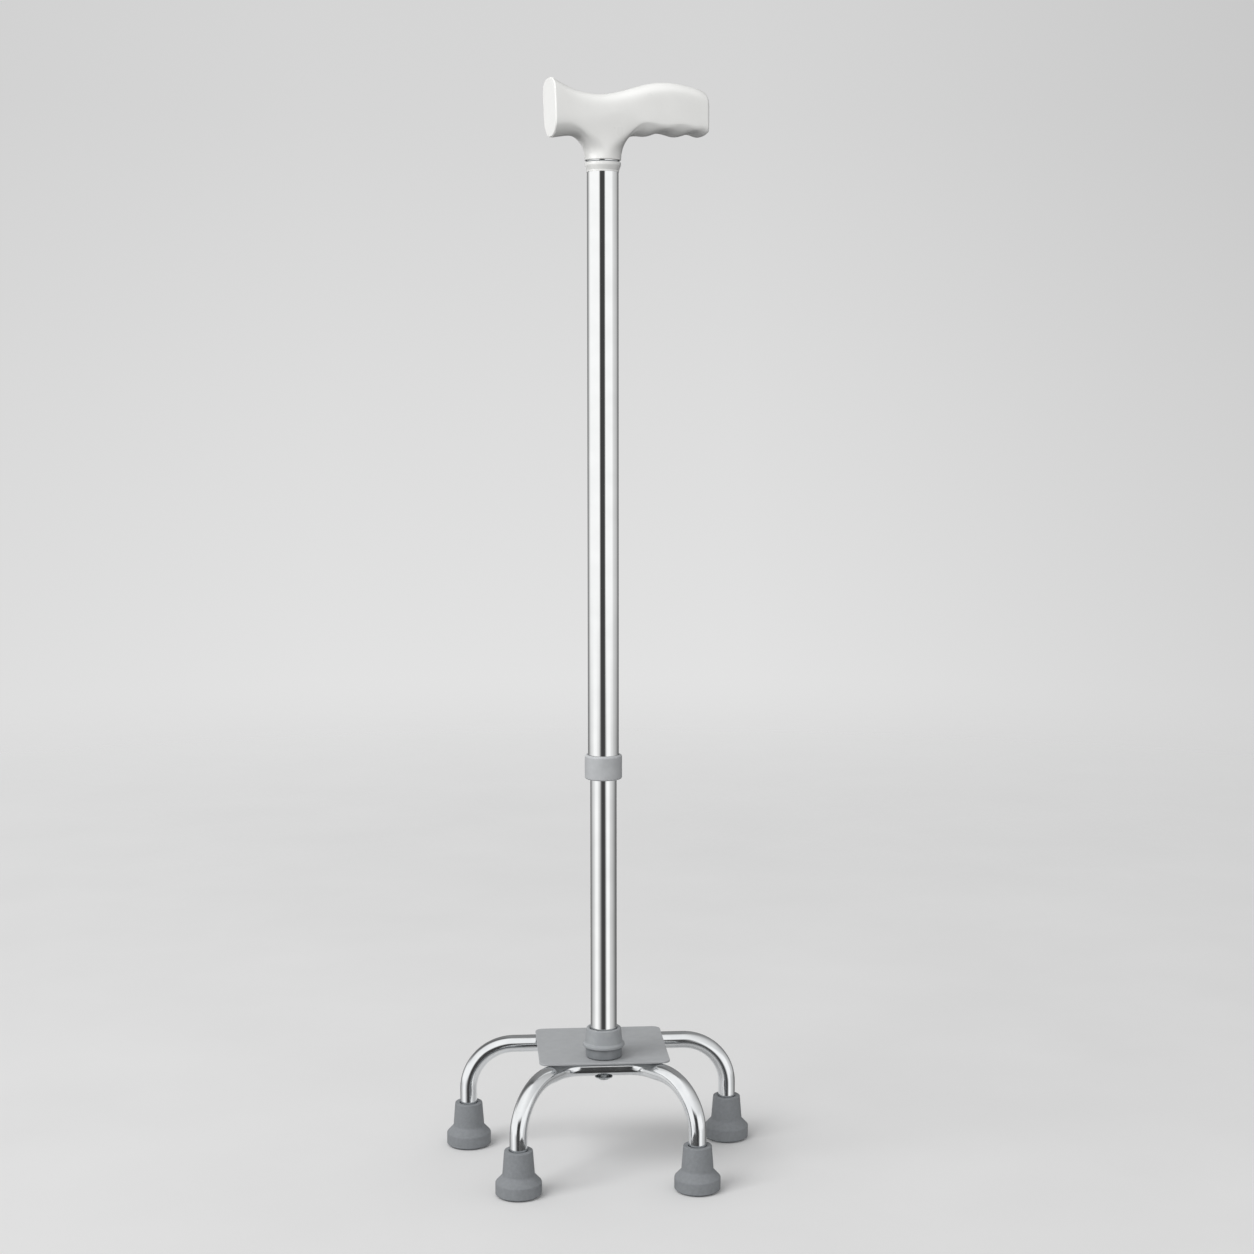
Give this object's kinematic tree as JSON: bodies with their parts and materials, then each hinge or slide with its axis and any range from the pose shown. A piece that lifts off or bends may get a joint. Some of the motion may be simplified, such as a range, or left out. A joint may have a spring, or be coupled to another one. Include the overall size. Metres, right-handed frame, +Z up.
{
  "type": "quad cane",
  "caption": "Height-adjustable walking cane: T-shaped hand grip on a two-part stem, held by a snap button, on a flat plate with bent tube legs and rubber feet.",
  "frame": {"origin": "On the floor, in the middle of the rectangle round the four feet", "axes": "+Z up along the stem, -Y to the front, where the two closer feet stand, +X to the right"},
  "size_m": [0.2302, 0.1412, 0.7846],
  "materials": {
    "white_plastic": "glossy moulded plastic",
    "grey_plastic": "satin moulded plastic",
    "nylon": "natural moulded nylon",
    "aluminium": "bright polished tube",
    "chromed_tube": "bright chromed steel tube",
    "grey_paint": "satin grey paint on steel",
    "zinc_steel": "zinc-plated steel",
    "spring_steel": "plain spring steel strip",
    "rubber": "matt grey rubber"
  },
  "bodies": {
    "base": {"base_plate": "grey_paint", "front_leg_tube": "chromed_tube", "rear_leg_tube": "chromed_tube", "ferrule_front_left": "rubber", "ferrule_front_right": "rubber", "ferrule_rear_left": "rubber", "ferrule_rear_right": "rubber", "foot_disc_front_left": "zinc_steel", "foot_disc_front_right": "zinc_steel", "foot_disc_rear_left": "zinc_steel", "foot_disc_rear_right": "zinc_steel", "weld_front_left": "zinc_steel", "weld_front_right": "zinc_steel", "weld_rear_left": "zinc_steel", "weld_rear_right": "zinc_steel", "base_bolt": "zinc_steel", "bolt_washer": "zinc_steel", "seat_ring": "grey_plastic", "base_socket": "grey_plastic", "foot_plug": "zinc_steel", "plug_pin": "zinc_steel", "lower_tube": "aluminium", "guide_bush": "nylon", "snap_spring": "spring_steel"},
    "upper": {"upper_tube": "aluminium", "middle_collar": "grey_plastic", "neck_ring": "white_plastic", "handle_plug": "nylon", "handle_rivet": "zinc_steel", "handle_grip": "white_plastic"},
    "button": {"snap_button": "zinc_steel"}
  },
  "joints": [
    {"name": "height_adjust", "type": "slide", "parent": "base", "child": "upper", "axis": [0, 0, 1], "range_m": [-0.0508, 0.1016]},
    {"name": "button_press", "type": "slide", "parent": "base", "child": "button", "axis": [0.2588, -0.9659, 0], "range_m": [0, 0.0042], "stiffness_N_per_m": 1500, "springref_m": -0.003, "deforming": ["snap_spring"]}
  ]
}
